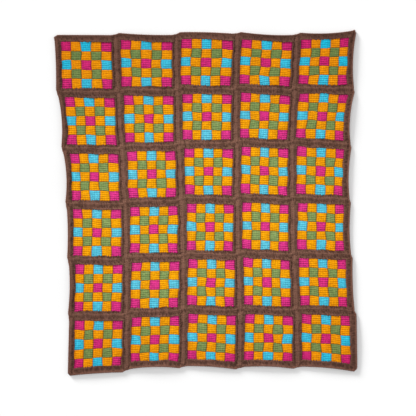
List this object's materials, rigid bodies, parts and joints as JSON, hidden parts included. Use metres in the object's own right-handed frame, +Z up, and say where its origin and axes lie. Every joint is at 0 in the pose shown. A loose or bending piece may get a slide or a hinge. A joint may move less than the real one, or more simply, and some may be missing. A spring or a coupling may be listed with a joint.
{
  "type": "crocheted patchwork blanket",
  "caption": "Hand-crocheted patchwork blanket lying flat: square patches of small colour blocks, joined by brown edging, with a brown outer round.",
  "frame": {"origin": "on the surface that the blanket lies on, under the middle of its outline's box", "axes": "+Y along the blanket's length towards the top row of squares, +X across it, +Z up from the surface"},
  "size_m": [1.034, 1.182, 0.0099],
  "materials": {
    "square_yarn": "matt worsted yarn in magenta, amber, turquoise and grey green, close crochet",
    "edging_yarn": "matt brown worsted yarn, ridged crochet"
  },
  "bodies": {
    "root": {"square_r1_c1": "square_yarn", "square_r1_c2": "square_yarn", "square_r1_c3": "square_yarn", "square_r1_c4": "square_yarn", "square_r1_c5": "square_yarn", "square_r2_c1": "square_yarn", "square_r2_c2": "square_yarn", "square_r2_c3": "square_yarn", "square_r2_c4": "square_yarn", "square_r2_c5": "square_yarn", "square_r3_c1": "square_yarn", "square_r3_c2": "square_yarn", "square_r3_c3": "square_yarn", "square_r3_c4": "square_yarn", "square_r3_c5": "square_yarn", "square_r4_c1": "square_yarn", "square_r4_c2": "square_yarn", "square_r4_c3": "square_yarn", "square_r4_c4": "square_yarn", "square_r4_c5": "square_yarn", "square_r5_c1": "square_yarn", "square_r5_c2": "square_yarn", "square_r5_c3": "square_yarn", "square_r5_c4": "square_yarn", "square_r5_c5": "square_yarn", "square_r6_c1": "square_yarn", "square_r6_c2": "square_yarn", "square_r6_c3": "square_yarn", "square_r6_c4": "square_yarn", "square_r6_c5": "square_yarn", "edging_column_1": "edging_yarn", "edging_column_2": "edging_yarn", "edging_column_3": "edging_yarn", "edging_column_4": "edging_yarn", "edging_column_5": "edging_yarn", "outer_round": "edging_yarn"}
  },
  "joints": []
}
